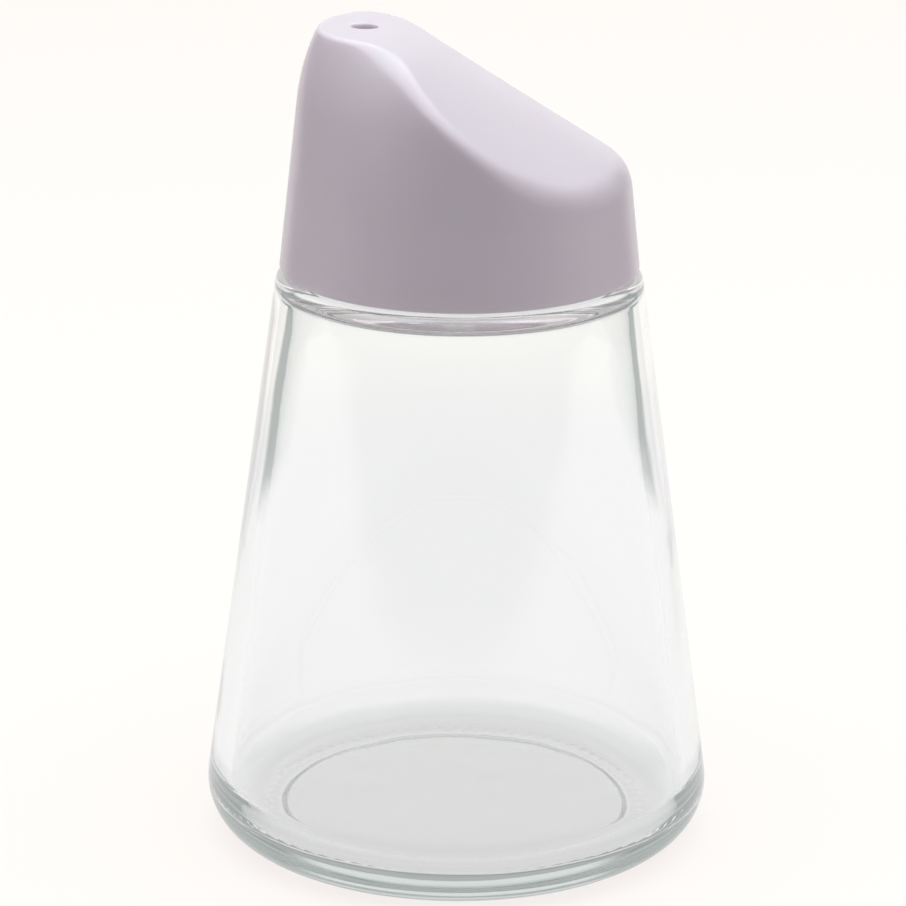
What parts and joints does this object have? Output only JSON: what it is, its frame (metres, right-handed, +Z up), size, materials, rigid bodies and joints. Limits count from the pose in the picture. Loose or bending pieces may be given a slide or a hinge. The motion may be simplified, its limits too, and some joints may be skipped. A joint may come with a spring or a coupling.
{
  "type": "honey dispenser",
  "caption": "Clear glass table dispenser for honey, with a flared round jar and a slanted screw-on pour cap that ends in a flat tip with a pour hole.",
  "frame": {"origin": "centre of the jar's base, on the surface it stands on", "axes": "+Z up along the jar's axis; the tip with the pour hole is on the -X side, and the picture looks along +Y"},
  "size_m": [0.0868, 0.0868, 0.1415],
  "materials": {
    "clear_glass": "clear, polished",
    "mauve_plastic": "smooth, glossy, opaque",
    "soft_silicone": "matt, translucent white"
  },
  "bodies": {
    "jar": {"glass_jar": "clear_glass"},
    "seal": {"sealing_ring": "soft_silicone"},
    "cap": {"pour_cap": "mauve_plastic"}
  },
  "joints": [
    {"name": "cap_rise", "type": "slide", "parent": "jar", "child": "seal", "axis": [0, 0, 1], "range_m": [0, 0.015]},
    {"name": "cap_twist", "type": "hinge", "parent": "seal", "child": "cap", "pos_m": [0, 0, 0.1005], "axis": [0, 0, 1], "range_deg": [0, 1081]}
  ],
  "couplings": [
    {"joint": "cap_twist", "follows": "cap_rise", "rad_per_m": 1256.6}
  ]
}
